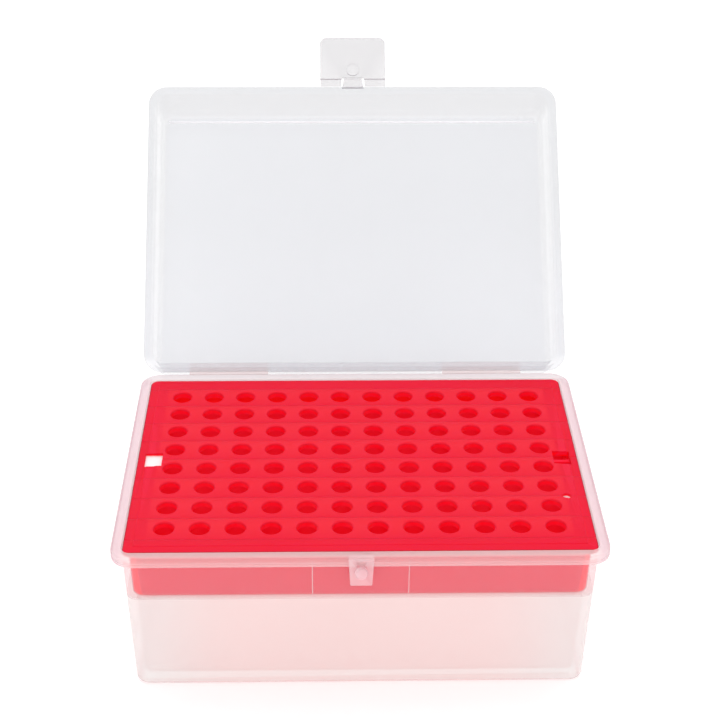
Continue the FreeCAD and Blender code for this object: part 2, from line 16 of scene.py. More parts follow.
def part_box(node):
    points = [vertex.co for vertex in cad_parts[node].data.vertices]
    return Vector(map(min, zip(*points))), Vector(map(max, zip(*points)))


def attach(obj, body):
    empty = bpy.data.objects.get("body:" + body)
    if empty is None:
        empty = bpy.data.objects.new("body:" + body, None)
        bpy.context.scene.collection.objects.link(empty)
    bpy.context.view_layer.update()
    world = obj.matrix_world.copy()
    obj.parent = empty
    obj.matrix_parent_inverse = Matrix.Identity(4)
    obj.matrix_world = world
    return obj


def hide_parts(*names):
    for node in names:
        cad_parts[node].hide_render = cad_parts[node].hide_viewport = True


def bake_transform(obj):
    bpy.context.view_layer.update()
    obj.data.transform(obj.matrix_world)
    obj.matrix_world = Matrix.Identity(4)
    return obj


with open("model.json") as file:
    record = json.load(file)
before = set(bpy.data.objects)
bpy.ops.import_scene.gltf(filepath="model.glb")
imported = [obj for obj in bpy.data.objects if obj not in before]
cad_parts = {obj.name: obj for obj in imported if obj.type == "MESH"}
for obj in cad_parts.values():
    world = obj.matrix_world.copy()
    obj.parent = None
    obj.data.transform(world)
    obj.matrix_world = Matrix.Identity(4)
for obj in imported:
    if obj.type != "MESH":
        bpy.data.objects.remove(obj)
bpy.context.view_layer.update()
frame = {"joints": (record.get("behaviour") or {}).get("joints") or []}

# %% [markdown]
# The moulded walls are all built the same way: rounded rectangles of edges, one above the other,
# bridged into a wall. The sizes come from the CAD nodes' boxes where a box can give them. The rest,
# such as a wall's thickness, is repeated here in millimetres, with the part's own names.

# %% Sizes shared by the pieces
MM = 0.001
DRAFT = math.tan(math.radians(2))
CORNER_STEPS = 10
NEAR = 0.01 * MM

rack_low, rack_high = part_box("rack_plate")
tub_low, tub_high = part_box("base_box")
hinge = next(joint for joint in frame["joints"] if joint["name"] == "lid_hinge")
HINGE_Y, HINGE_Z = hinge["pos_m"][1], hinge["pos_m"][2]
LID_ANGLE = math.radians(hinge["range_deg"][1])

RACK = (rack_high.x - rack_low.x, rack_high.y - rack_low.y, 2.2 * MM)
FLANGE = (tub_high.x - tub_low.x, 2 * tub_high.y, 5.5 * MM)
OVERHANG = 1.75 * MM
LIP = 1.2 * MM
LIP_THICK = 1.3 * MM
TUB_TOP = HINGE_Z - 0.1 * MM
LID_FACE = HINGE_Z + 0.1 * MM
print("rack", [round(v / MM, 1) for v in RACK], "flange", [round(v / MM, 1) for v in FLANGE])

# %% [markdown]
# A moulded wall is a stack of rounded rectangles. The first is a one-face grid whose four corner
# points are bevelled; its face is dropped, so only a ring of edges is left. Each next ring is
# extruded from the last, which keeps the points in step, and is then shaped: the points of each
# corner are scaled about the middle of their arc and moved out. Bridging loops made apart would do
# too, but Blender guesses where flat loops start, and a wrong guess twists the wall. The wide faces
# are inset a little at the end, so the mask for painted light and shade on edges stays near the edges.

# %% Rings and shells
START_HALF, START_CORNER = 20 * MM, 5 * MM
LEAST_CORNER = 0.3 * MM
WIDE_FACE = 600 * MM * MM
EDGE_BAND = 0.4 * MM
CRISP_ANGLE = 35


def first_ring(bm):
    """A rounded square of edges, to be shaped later."""
    made = bmesh.ops.create_grid(bm, x_segments=1, y_segments=1, size=START_HALF)
    rounded = bmesh.ops.bevel(
        bm,
        geom=made["verts"],
        affect="VERTICES",
        offset=START_CORNER,
        segments=CORNER_STEPS,
        profile=0.5,
        material=-1,
    )
    edges = list({edge for vert in rounded["verts"] for edge in vert.link_edges})
    faces = list({face for edge in edges for face in edge.link_faces})
    bmesh.ops.delete(bm, geom=faces, context="FACES_ONLY")
    return edges


def pull(bm, edges, move):
    """Extrudes edges and moves the new ones; returns them."""
    out = bmesh.ops.extrude_edge_only(bm, edges=edges)["geom"]
    verts = [item for item in out if isinstance(item, bmesh.types.BMVert)]
    bmesh.ops.translate(bm, vec=move, verts=verts)
    new = set(verts)
    return [item for item in out if isinstance(item, bmesh.types.BMEdge) and set(item.verts) <= new]


def shape_ring(bm, edges, outline, inset, height):
    """Gives a ring its outline, moved in by inset, at a height."""
    width, depth, corner = outline
    radius = max(corner - inset, LEAST_CORNER)
    verts = list({vert for edge in edges for vert in edge.verts})
    middle = START_HALF - START_CORNER
    for side_x in (-1, 1):
        for side_y in (-1, 1):
            arc = [vert for vert in verts if vert.co.x * side_x > 0 and vert.co.y * side_y > 0]
            about = Matrix.Translation((-side_x * middle, -side_y * middle, 0))
            grow = radius / START_CORNER
            bmesh.ops.scale(bm, vec=(grow, grow, 1), space=about, verts=arc)
            move = (
                side_x * (width / 2 - inset - radius - middle),
                side_y * (depth / 2 - inset - radius - middle),
                height - arc[0].co.z,
            )
            bmesh.ops.translate(bm, vec=move, verts=arc)


def soften(bm, edges, radius, segments=3):
    """Rounds edges with a bevel."""
    bmesh.ops.bevel(
        bm,
        geom=edges,
        affect="EDGES",
        offset=radius,
        segments=segments,
        profile=0.5,
        material=-1,
        loop_slide=True,
    )


def stack(bm, profile):
    """Builds the rings of a profile, one extruded from the next.

    Each row of the profile is (outline, inset, height, rounding, segments).
    """
    rings = [first_ring(bm)]
    for _ in profile[1:]:
        rings.append(pull(bm, rings[-1], (0, 0, MM)))
    for edges, (outline, inset, height, _, _) in zip(rings, profile):
        shape_ring(bm, edges, outline, inset, height)
    return rings


def shell(bm, profile):
    """A wall with both its ends closed and its edges softened."""
    rings = stack(bm, profile)
    for end in (rings[0], rings[-1]):
        bmesh.ops.contextual_create(bm, geom=end)
    for edges, (_, _, _, rounding, segments) in zip(rings, profile):
        soften(bm, edges, rounding, segments)
    wide = [face for face in bm.faces if face.calc_area() > WIDE_FACE]
    bmesh.ops.inset_individual(bm, faces=wide, thickness=EDGE_BAND, use_even_offset=True)
    bmesh.ops.recalc_face_normals(bm, faces=bm.faces)


def as_object(name, bm, smooth_angle=None):
    """Turns a bmesh into an object; with an angle, only edges sharper than it stay crisp."""
    mesh = bpy.data.meshes.new(name)
    bm.to_mesh(mesh)
    bm.free()
    if smooth_angle:
        mesh.shade_smooth()
        mesh.set_sharp_from_angle(angle=math.radians(smooth_angle))
    made = bpy.data.objects.new(name, mesh)
    bpy.context.scene.collection.objects.link(made)
    return made


def piece(name, bm, body, smooth_angle=CRISP_ANGLE):
    """A visible piece that rides on a body."""
    open_edges = sum(1 for edge in bm.edges if not edge.is_manifold)
    made = as_object(name, bm, smooth_angle)
    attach(made, body)
    print(name, len(made.data.polygons), "faces", open_edges, "open edges")
    return made


# %% [markdown]
# The tub is one moulding: a drafted wall with a round foot, a rim flange that overhangs it, a seat
# for the rack's skirt and a plain cavity. Its profile is read from the underside up the outside,
# over the rim and down the inside. A fine groove runs round the rim's face. The seat and the cavity
# have rounder corners than the plate. Long walls need no rings between, because they are straight.

# %% The clear tub
SEAT_DEPTH = 15.2 * MM
TUB_OVERHANG = OVERHANG + 1.0 * MM
TUB_DRAFT = math.tan(math.radians(1.6))
RACK_GAP = 0.25 * MM
FOOT = (FLANGE[0], FLANGE[1], 7.5 * MM)
CAVITY = (RACK[0], RACK[1], 5.0 * MM)
LEDGE = 0.8 * MM
TUB_FLOOR = 1.4 * MM
RIM_THICK = 2.8 * MM
GROOVE_DEPTH = 0.2 * MM
GROOVE_FOOT, GROOVE_MIDDLE, GROOVE_TOP = 1.9 * MM, 1.65 * MM, 1.4 * MM
flange_under = TUB_TOP - RIM_THICK
ledge_level = TUB_TOP - SEAT_DEPTH
lip_seat = TUB_TOP - LIP_THICK - 0.3 * MM
seat_inset = LIP + SEAT_DEPTH * DRAFT - RACK_GAP
cavity_inset = seat_inset + LEDGE + (ledge_level - TUB_FLOOR) * DRAFT

bm = bmesh.new()
shell(bm, [
    (FOOT, TUB_OVERHANG + flange_under * TUB_DRAFT, 0, 1.0 * MM, 5),
    (FLANGE, TUB_OVERHANG, flange_under, 0.8 * MM, 4),
    (FLANGE, 0, flange_under, 0.45 * MM, 3),
    (FLANGE, 0, TUB_TOP - GROOVE_FOOT, 0.1 * MM, 2),
    (FLANGE, GROOVE_DEPTH, TUB_TOP - GROOVE_MIDDLE, 0.1 * MM, 2),
    (FLANGE, 0, TUB_TOP - GROOVE_TOP, 0.1 * MM, 2),
    (FLANGE, 0, TUB_TOP, 0.45 * MM, 3),
    (RACK, -RACK_GAP, TUB_TOP, 0.3 * MM, 3),
    (RACK, -RACK_GAP, lip_seat, 0.15 * MM, 2),
    (CAVITY, LIP - RACK_GAP, lip_seat, 0.15 * MM, 2),
    (CAVITY, seat_inset, ledge_level, 0.1 * MM, 2),
    (CAVITY, seat_inset + LEDGE, ledge_level, 0.2 * MM, 2),
    (CAVITY, cavity_inset, TUB_FLOOR, 1.4 * MM, 4),
])
tub = piece("tub", bm, "base")
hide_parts("base_box")

# %% [markdown]
# The front catch is a small plate under the rim, held by two gussets and hollow behind, so it can
# flex. It has a slot at the top and a round stud that the latch flap snaps over. A tapered block
# with soft edges gives the plate. The slot and the hollow are cut with a Boolean, which is the
# easy way to get crisp inner corners on a piece this small.

# %% The front catch
def cuboid(bm, low, high):
    """A box between two corners; returns its points."""
    made = bmesh.ops.create_cube(bm, size=1)
    low, high = Vector(low), Vector(high)
    bmesh.ops.scale(bm, vec=high - low, verts=made["verts"])
    bmesh.ops.translate(bm, vec=(low + high) / 2, verts=made["verts"])
    return made["verts"]


def pin(bm, radius, depth, turn=None, segments=32):
    """A short round bar about the origin; returns its points."""
    made = bmesh.ops.create_cone(
        bm, cap_ends=True, segments=segments, radius1=radius, radius2=radius, depth=depth
    )
    if turn:
        bmesh.ops.rotate(bm, cent=(0, 0, 0), matrix=turn, verts=made["verts"])
    return made["verts"]


def cut(target, bm, smooth_angle=CRISP_ANGLE):
    """Cuts the bmesh's volume out of an object and keeps the result in its mesh."""
    cutter = as_object("cutter", bm)
    boolean = target.modifiers.new("cut", "BOOLEAN")
    boolean.operation = "DIFFERENCE"
    boolean.solver = "EXACT"
    boolean.object = cutter
    shape = target.evaluated_get(bpy.context.evaluated_depsgraph_get())
    finished = bpy.data.meshes.new_from_object(shape)
    finished.name = target.name
    target.modifiers.clear()
    target.data = finished
    finished.shade_smooth()
    finished.set_sharp_from_angle(angle=math.radians(smooth_angle))
    bpy.data.objects.remove(cutter)


CATCH_FACE = tub_low.y + 0.9 * MM
CATCH_TOP = TUB_TOP - 0.3 * MM
CATCH_HALF = 3.2 * MM
CATCH_THICK = 2.3 * MM
CATCH_TAPER = 5.5 / 6.4
STUD_R = 1.6 * MM
STUD_LENGTH = 1.4 * MM
STUD_Z = TUB_TOP - 4.3 * MM
SLOT_HALF_X, SLOT_HALF_Z = 1.0 * MM, 0.7 * MM
HOLLOW_HALF = 1.65 * MM
HOLLOW_SKIN = 1.1 * MM
HOLLOW_TOP = TUB_TOP - 2.6 * MM
catch_foot = TUB_TOP - 8.4 * MM
slot_z = TUB_TOP - 1.6 * MM
TO_FRONT = Matrix.Rotation(math.radians(90), 3, "X")

bm = bmesh.new()
plate = cuboid(
    bm, (-CATCH_HALF, CATCH_FACE, catch_foot), (CATCH_HALF, CATCH_FACE + CATCH_THICK, CATCH_TOP)
)
foot = [vert for vert in plate if vert.co.z < catch_foot + MM]
bmesh.ops.scale(bm, vec=(CATCH_TAPER, 1, 1), verts=foot)
soften(bm, bm.edges[:], 0.3 * MM)
stud = pin(bm, STUD_R, STUD_LENGTH, TO_FRONT)
bmesh.ops.translate(bm, vec=(0, CATCH_FACE - 0.2 * MM, STUD_Z), verts=stud)
tip = min(vert.co.y for vert in stud)
rim = [
    edge for edge in {link for vert in stud for link in vert.link_edges}
    if all(abs(vert.co.y - tip) < NEAR for vert in edge.verts)
]
soften(bm, rim, 0.35 * MM)
bmesh.ops.recalc_face_normals(bm, faces=bm.faces)
catch = piece("front_catch", bm, "base")

bm = bmesh.new()
cuboid(
    bm,
    (-SLOT_HALF_X, CATCH_FACE - MM, slot_z - SLOT_HALF_Z),
    (SLOT_HALF_X, CATCH_FACE + MM, slot_z + SLOT_HALF_Z),
)
cuboid(
    bm,
    (-HOLLOW_HALF, CATCH_FACE + HOLLOW_SKIN, catch_foot - MM),
    (HOLLOW_HALF, CATCH_FACE + 3 * MM, HOLLOW_TOP),
)
cut(catch, bm)

# %% [markdown]
# The lid is a shallow drafted tray with the same rim as the tub. It is built closed, face down on
# the tub, and then turned open about the hinge axis, so its rim is bound to meet the tub's rim
# when the hinge closes. The turn is the hinge's own range.

# %% The clear lid
OPEN = Matrix.Rotation(-LID_ANGLE, 3, "X")


def swing_open(bm):
    """Turns what was built closed to where the open lid is."""
    bmesh.ops.rotate(bm, cent=(0, HINGE_Y, HINGE_Z), matrix=OPEN, verts=bm.verts)


LID_HEIGHT = 18 * MM
LID_RIM = 1.6 * MM
LID_WALL = 1.0 * MM
LID_TOP = 1.2 * MM
lid_top = LID_FACE + LID_HEIGHT
ceiling = lid_top - LID_TOP

bm = bmesh.new()
shell(bm, [
    (FLANGE, OVERHANG + (LID_HEIGHT - LID_RIM) * DRAFT, lid_top, 2.4 * MM, 5),
    (FLANGE, OVERHANG, LID_FACE + LID_RIM, 0.35 * MM, 3),
    (FLANGE, 0, LID_FACE + LID_RIM, 0.45 * MM, 3),
    (FLANGE, 0, LID_FACE, 0.45 * MM, 3),
    (FLANGE, OVERHANG + LID_WALL, LID_FACE, 0.3 * MM, 3),
    (FLANGE, OVERHANG + LID_WALL + (ceiling - LID_FACE) * DRAFT, ceiling, 0.6 * MM, 3),
])
swing_open(bm)
lid = piece("lid_tray", bm, "lid")
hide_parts("lid_shell")

# %% [markdown]
# A fine bead runs along the inside of the lid's top, behind its front wall. It is a painted highlight:
# it stands for the one bright line of light along the lid's fold. It is a bar with round edges, sunk
# into the top.

# %% The painted highlight bead
BEAD_Y = -FLANGE[1] / 2 + 5.0 * MM
BEAD_HALF = 57.5 * MM
BEAD_WIDTH = 0.45 * MM

bm = bmesh.new()
cuboid(
    bm,
    (-BEAD_HALF, BEAD_Y, ceiling - 0.3 * MM),
    (BEAD_HALF, BEAD_Y + BEAD_WIDTH, ceiling + 0.2 * MM),
)
soften(bm, bm.edges[:], 0.12 * MM, 2)
bmesh.ops.recalc_face_normals(bm, faces=bm.faces)
swing_open(bm)
bead = piece("lid_bead", bm, "lid")

# %% [markdown]
# At the lid's front, a little hollow stub stands out of the rim. It keeps the flap from folding too
# far, and the flap has a notch that clears it.

# %% The keeper stub
FRONT = -FLANGE[1] / 2
STUB_HALF = 3.3 * MM
STUB_OUT = 2.6 * MM
STUB_TAPER = 0.84
STUB_WALL = 1.0 * MM
STUB_HOLLOW = 0.4 * MM

bm = bmesh.new()
stub = cuboid(
    bm,
    (-STUB_HALF, FRONT - STUB_OUT, LID_FACE),
    (STUB_HALF, FRONT + 0.3 * MM, LID_FACE + LID_RIM),
)
tip = [vert for vert in stub if vert.co.y < FRONT]
bmesh.ops.scale(bm, vec=(STUB_TAPER, 1, 1), verts=tip)
bmesh.ops.recalc_face_normals(bm, faces=bm.faces)
inner = [face for face in bm.faces if face.normal.z < -0.9]
bmesh.ops.inset_individual(bm, faces=inner, thickness=STUB_WALL, use_even_offset=True)
hollow = list({vert for face in inner for vert in face.verts})
bmesh.ops.translate(bm, vec=(0, 0, STUB_HOLLOW), verts=hollow)
soften(bm, bm.edges[:], 0.22 * MM, 2)
bmesh.ops.recalc_face_normals(bm, faces=bm.faces)
swing_open(bm)
keeper = piece("keeper_stub", bm, "lid")

# %% [markdown]
# The latch flap is a thin rounded plate. Its inner side has a shallow round dimple for the stud, and
# its edge has the notch for the stub.
# The plate is a bevelled box; the dimple and the notch are cut, because a cut leaves their edges
# crisp, as a mould does.

# %% The latch flap
FLAP_THICK = 1.2 * MM
FLAP_HALF = 10 * MM
FLAP_FAR = FRONT - 15.9 * MM
FLAP_NEAR = FRONT - 2.4 * MM
NOTCH_FAR = FRONT - 3.0 * MM
DIMPLE_R = 2.0 * MM
DIMPLE_Y = FRONT - 5.5 * MM

bm = bmesh.new()
cuboid(bm, (-FLAP_HALF, FLAP_FAR, LID_FACE), (FLAP_HALF, FLAP_NEAR, LID_FACE + FLAP_THICK))
corners = [
    edge for edge in bm.edges
    if all(vert.co.y < FLAP_FAR + MM for vert in edge.verts)
    and abs(edge.verts[0].co.z - edge.verts[1].co.z) > 0.5 * MM
]
soften(bm, corners, 2 * MM, 8)
lips = [
    edge for edge in bm.edges
    if abs(edge.verts[0].co.z - edge.verts[1].co.z) < 0.1 * MM
]
soften(bm, lips, 0.25 * MM)
bmesh.ops.recalc_face_normals(bm, faces=bm.faces)
flap = piece("flap", bm, "latch")
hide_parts("latch_flap")

bm = bmesh.new()
cuboid(bm, (-STUB_HALF, NOTCH_FAR, LID_FACE - MM), (STUB_HALF, FRONT, LID_FACE + 3 * MM))
cut(flap, bm)
bm = bmesh.new()
dimple = pin(bm, DIMPLE_R, 1.2 * MM, segments=40)
bmesh.ops.translate(bm, vec=(0, DIMPLE_Y, LID_FACE), verts=dimple)
cut(flap, bm)
bm = bmesh.new()
bm.from_mesh(flap.data)
swing_open(bm)
bm.to_mesh(flap.data)
bm.free()

# %% [markdown]
# The film hinges are thin webs that bend. Each is a strip of faces with many cross lines along a
# path, given a thickness.

# %% Film hinges
FILM = 0.4 * MM
FILM_ANGLE = 50


def film(name, replaced, x_range, path):
    """A thin strip along a path in the YZ plane, given a thickness, in place of a CAD strap."""
    bm = bmesh.new()
    first, last = [bm.verts.new((x, *path[0])) for x in x_range]
    edge = bm.edges.new((first, last))
    for here, there in zip(path, path[1:]):
        out = bmesh.ops.extrude_edge_only(bm, edges=[edge])["geom"]
        verts = [item for item in out if isinstance(item, bmesh.types.BMVert)]
        bmesh.ops.translate(bm, vec=(0, there[0] - here[0], there[1] - here[1]), verts=verts)
        edge = next(
            item for item in out
            if isinstance(item, bmesh.types.BMEdge) and set(item.verts) == set(verts)
        )
    bmesh.ops.recalc_face_normals(bm, faces=bm.faces)
    bmesh.ops.solidify(bm, geom=bm.faces[:], thickness=FILM)
    bmesh.ops.recalc_face_normals(bm, faces=bm.faces)
    made = as_object(name, bm, FILM_ANGLE)
    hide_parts(replaced)
    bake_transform(made)
    return made


STRAP_X = 37 * MM
STRAP_WIDTH = 23 * MM
HINGE_GAP = 0.4 * MM
bend = math.pi - LID_ANGLE
arc_rise = HINGE_GAP * math.tan(LID_ANGLE / 2)
arc_radius = 0.4 * MM + arc_rise
arc_middle = (HINGE_Y - HINGE_GAP, HINGE_Z + arc_rise)
STRAP_STEPS = 10
strap_path = [
    (
        arc_middle[0] + arc_radius * math.sin(bend * step / STRAP_STEPS),
        arc_middle[1] - arc_radius * math.cos(bend * step / STRAP_STEPS),
    )
    for step in range(STRAP_STEPS + 1)
]
straps = []
for side, sign in (("left", -1), ("right", 1)):
    span = (sign * STRAP_X - STRAP_WIDTH / 2, sign * STRAP_X + STRAP_WIDTH / 2)
    straps.append(film(
        f"lid_film_{side}",
        f"hinge_strap_{side}",
        span,
        strap_path,
    ))

LATCH_STEPS = 6
WEB_NEAR, WEB_FAR = 3.5 * MM, 9.9 * MM
WEB_LENGTH = 2.4 * MM


def opened(y, z):
    """Where a point of the closed lid is when the lid is open, as (y, z)."""
    axis = Vector((0, HINGE_Y, HINGE_Z))
    turned = OPEN @ (Vector((0, y, z)) - axis) + axis
    return turned.y, turned.z


web_path = [
    opened(FRONT - WEB_LENGTH * step / LATCH_STEPS, LID_FACE + FILM / 2)
    for step in range(LATCH_STEPS + 1)
]
for side, sign in (("left", -1), ("right", 1)):
    span = tuple(sorted((sign * WEB_NEAR, sign * WEB_FAR)))
    straps.append(film(
        f"latch_film_{side}",
        f"latch_strap_{side}",
        span,
        web_path,
    ))
print("film hinges", [strap.name for strap in straps])

# %% [markdown]
# The rack plate is the heart of the box: 96 holes in eight rows, on a skirt. Each row is a low
# ridge: it rises in a short ramp at the back and falls away slowly to the front. One hole with the
# plate round it is modelled as a tile, with a soft rim and a wall down to the underside. The tile
# is repeated on the grid and its points merged, which keeps every face clean, where 96 cuts would
# leave slivers.

# %% One tile of the plate
PITCH = 9 * MM
COLUMNS, ROWS = 12, 8
HOLE_R = 2.6 * MM
RIM_SOFT = 0.35 * MM
RIM_MIDDLE = (0.1 * MM, 0.12 * MM)
PLATE = 1.8 * MM
RIDGE_Y = 3.5 * MM
ROW_RISE = 0.25 * MM
RACK_SMOOTH = 18
HOLE_STEPS = 32
top = rack_high.z
field = top - ROW_RISE
under = top - PLATE


def circle(bm, radius, height, segments=HOLE_STEPS):
    """A ring of edges round the tile's middle."""
    made = bmesh.ops.create_circle(bm, cap_ends=False, radius=radius, segments=segments)
    bmesh.ops.translate(bm, vec=(0, 0, height), verts=made["verts"])
    return list({edge for vert in made["verts"] for edge in vert.link_edges})


def rectangle(bm, low, high, height):
    """A rectangle of edges with as many points as a hole's ring."""
    before = set(bm.edges)
    made = bmesh.ops.create_circle(bm, cap_ends=False, radius=math.sqrt(0.5), segments=4)
    turn = Matrix.Rotation(math.radians(45), 3, "Z")
    size = (high[0] - low[0], high[1] - low[1], 1)
    middle = ((low[0] + high[0]) / 2, (low[1] + high[1]) / 2, height)
    bmesh.ops.rotate(bm, cent=(0, 0, 0), matrix=turn, verts=made["verts"])
    bmesh.ops.scale(bm, vec=size, verts=made["verts"])
    bmesh.ops.translate(bm, vec=middle, verts=made["verts"])
    edges = [edge for edge in bm.edges if edge not in before]
    bmesh.ops.subdivide_edges(bm, edges=edges, cuts=HOLE_STEPS // 4 - 1)
    return [edge for edge in bm.edges if edge not in before]


def join_flat(bm, inner, outer):
    """Bridges a hole's ring to the rectangle round it, with the ring held apart while it's joined."""
    verts = list({vert for edge in inner for vert in edge.verts})
    bmesh.ops.translate(bm, vec=(0, 0, MM), verts=verts)
    bmesh.ops.bridge_loops(bm, edges=inner + outer)
    bmesh.ops.translate(bm, vec=(0, 0, -MM), verts=verts)


half = PITCH / 2
bm = bmesh.new()
rings = [
    circle(bm, HOLE_R, under),
    circle(bm, HOLE_R, top - RIM_SOFT),
    circle(bm, HOLE_R + RIM_MIDDLE[0], top - RIM_MIDDLE[1]),
    circle(bm, HOLE_R + RIM_SOFT, top),
]
for lower, upper in zip(rings, rings[1:]):
    bmesh.ops.bridge_loops(bm, edges=lower + upper)
row = rectangle(bm, (-half, -half), (half, RIDGE_Y), top)
join_flat(bm, rings[-1], row)
join_flat(bm, rings[0], rectangle(bm, (-half, -half), (half, half), under))

slope = ROW_RISE / (half + RIDGE_Y)
lean = Matrix.Identity(3)
lean[2][1] = slope
upper_points = [vert for vert in bm.verts if vert.co.z > top - 0.5 * MM]
bmesh.ops.translate(bm, vec=(0, -RIDGE_Y, 0), verts=bm.verts)
bmesh.ops.transform(bm, matrix=lean.to_4x4(), verts=upper_points)
bmesh.ops.translate(bm, vec=(0, RIDGE_Y, 0), verts=bm.verts)
ridge = [edge for edge in row if all(vert.co.y > RIDGE_Y - NEAR for vert in edge.verts)]
pull(bm, ridge, (0, half - RIDGE_Y, -ROW_RISE))
print("tile", len(bm.faces), "faces")
tile_mesh = bpy.data.meshes.new("tile")
bm.to_mesh(tile_mesh)
bm.free()

# %% [markdown]
# The tiles are laid in a grid. Round the grid, the plate's flat field runs to a border that steps
# down, and the skirt hangs from it with its draft. The field and the underside are filled between
# the grid's own outline and the border's ring, so the whole rack is one closed skin.

# %% The plate and its skirt
bm = bmesh.new()
for column in range(COLUMNS):
    for line in range(ROWS):
        before = set(bm.verts)
        bm.from_mesh(tile_mesh)
        new = [vert for vert in bm.verts if vert not in before]
        move = ((column - (COLUMNS - 1) / 2) * PITCH, (line - (ROWS - 1) / 2) * PITCH, 0)
        bmesh.ops.translate(bm, vec=move, verts=new)
bmesh.ops.remove_doubles(bm, verts=bm.verts, dist=NEAR)
bpy.data.meshes.remove(tile_mesh)

# the rows' ends ramp down to the field
half_grid = COLUMNS * PITCH / 2
END_RAMP = 0.6 * MM
for sign in (-1, 1):
    ends = [
        edge for edge in bm.edges
        if edge.is_boundary
        and all(vert.co.x * sign > half_grid - NEAR for vert in edge.verts)
        and all(vert.co.z > field - NEAR for vert in edge.verts)
    ]
    ramp = pull(bm, ends, (sign * END_RAMP, 0, 0))
    foot = list({vert for edge in ramp for vert in edge.verts})
    bmesh.ops.scale(bm, vec=(1, 1, 0), space=Matrix.Translation((0, 0, -field)), verts=foot)

outlines = {
    level: [
        edge for edge in bm.edges
        if edge.is_boundary and all(abs(vert.co.z - level) < 0.02 * MM for vert in edge.verts)
    ]
    for level in (field, under)
}
SKIRT_WALL = 1.0 * MM
BORDER = 2.45 * MM
skirt_foot = ledge_level
border = field - 0.15 * MM
lip_under = border - LIP_THICK
foot_inset = LIP + (lip_under - skirt_foot) * DRAFT
profile = [
    (RACK, BORDER + 0.15 * MM, field, 0.1 * MM, 2),
    (RACK, BORDER, border, 0.1 * MM, 2),
    (RACK, 0, border, 0.4 * MM, 3),
    (RACK, 0, lip_under, 0.15 * MM, 2),
    (CAVITY, LIP, lip_under, 0.1 * MM, 2),
    (CAVITY, foot_inset, skirt_foot, 0.3 * MM, 3),
    (CAVITY, foot_inset + SKIRT_WALL, skirt_foot, 0.2 * MM, 3),
    (CAVITY, LIP + SKIRT_WALL, under, 0, 0),
]
rings = stack(bm, profile)
for level, outer in ((field, rings[0]), (under, rings[-1])):
    bmesh.ops.triangle_fill(bm, use_beauty=True, edges=outlines[level] + outer, normal=(0, 0, 1))
    print("grid outline", len(outlines[level]), "edges at", round(level / MM, 2))
for edges, (_, _, _, rounding, segments) in zip(rings, profile):
    if rounding:
        soften(bm, edges, rounding, segments)
bmesh.ops.recalc_face_normals(bm, faces=bm.faces)
rack = piece("rack_moulding", bm, "base", RACK_SMOOTH)
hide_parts("rack_plate")

# %% [markdown]
# Two small windows, a vent hole and the two slits of the front tongue go through the skin, so they
# are cut. The ribs below only show through the holes. They are plain slabs that run into the plate.

# %% Windows, slits and ribs
WINDOW_X = RACK[0] / 2 - 4.3 * MM
WINDOW_HALF = 2.3 * MM
WINDOW_FRONT, WINDOW_BACK = -3.4 * MM, 2.8 * MM
SLIT_X = 12.15 * MM
SLIT_HALF = 0.14 * MM
SLIT_HEIGHT = 11 * MM
VENT_X, VENT_Y = RACK[0] / 2 - 5.28 * MM, -18.2 * MM
VENT_R = 1.15 * MM
RIB_HALF = 0.5 * MM
RIB_DEPTH = 6 * MM

bm = bmesh.new()
for sign in (-1, 1):
    x = sign * WINDOW_X
    cuboid(
        bm,
        (x - WINDOW_HALF, WINDOW_FRONT, under - MM),
        (x + WINDOW_HALF, WINDOW_BACK, top + MM),
    )
for sign in (-1, 1):
    x = sign * SLIT_X
    cuboid(
        bm,
        (x - SLIT_HALF, rack_low.y - MM, skirt_foot - MM),
        (x + SLIT_HALF, rack_low.y + LIP + 2.4 * MM, skirt_foot + SLIT_HEIGHT),
    )
vent = pin(bm, VENT_R, 5 * MM, segments=24)
bmesh.ops.translate(bm, vec=(VENT_X, VENT_Y, top - MM), verts=vent)
cut(rack, bm, RACK_SMOOTH)

rib_top = under + 0.3 * MM
rib_foot = under - RIB_DEPTH
rib_left = -(COLUMNS - 1) * PITCH / 2 - HOLE_R - 2.4 * MM
rib_right = RACK[0] / 2 - LIP - 0.6 * SKIRT_WALL
bm = bmesh.new()
for gap in range(ROWS - 1):
    y = (gap + 1 - ROWS / 2) * PITCH
    cuboid(bm, (rib_left, y - RIB_HALF, rib_foot), (rib_right, y + RIB_HALF, rib_top))
rib_reach = RACK[1] / 2 - LIP - 0.6 * SKIRT_WALL
for x in (-3 * PITCH, 0, 3 * PITCH):
    cuboid(bm, (x - RIB_HALF, -rib_reach, rib_foot), (x + RIB_HALF, rib_reach, rib_top))
ribs = piece("rack_ribs", bm, "base")

# %% [markdown]
# The left window and the vent are stopped with pale plugs of the clear plastic, which sit a little
# below the plate. Each is a block with soft edges, a hair larger than its hole.

# %% The two pale plugs
HAIR = 0.1 * MM
VENT_HAIR = 0.05 * MM
plug_top = top - 1.0 * MM

bm = bmesh.new()
cuboid(
    bm,
    (-WINDOW_X - WINDOW_HALF - HAIR, WINDOW_FRONT - HAIR, under + 0.1 * MM),
    (-WINDOW_X + WINDOW_HALF + HAIR, WINDOW_BACK + HAIR, plug_top),
)
vent_plug = pin(bm, VENT_R + VENT_HAIR, 0.6 * MM, segments=24)
bmesh.ops.translate(bm, vec=(VENT_X, VENT_Y, plug_top - 0.3 * MM), verts=vent_plug)
soften(bm, bm.edges[:], 0.05 * MM, 2)
bmesh.ops.recalc_face_normals(bm, faces=bm.faces)
plugs = piece("rack_plugs", bm, "base")

# %% [markdown]
# Moulded plastic is never quite even. Three small node groups serve all the finishes: a slow drift
# of tone, a fine moulded grain that feeds the bump and can carry a larger relief, and masks for the
# ridges and folds, where painted light and shade make the edges a little lighter or darker. They only
# put out masks, heights and normals; each material owns its own shader.

# %% Shared effects
DRIFT_SCALE = 35.0
EDGE_LOW, EDGE_HIGH = 0.015, 0.08
WAVE_SCALE = 60
GRAIN_SHARE = 0.25


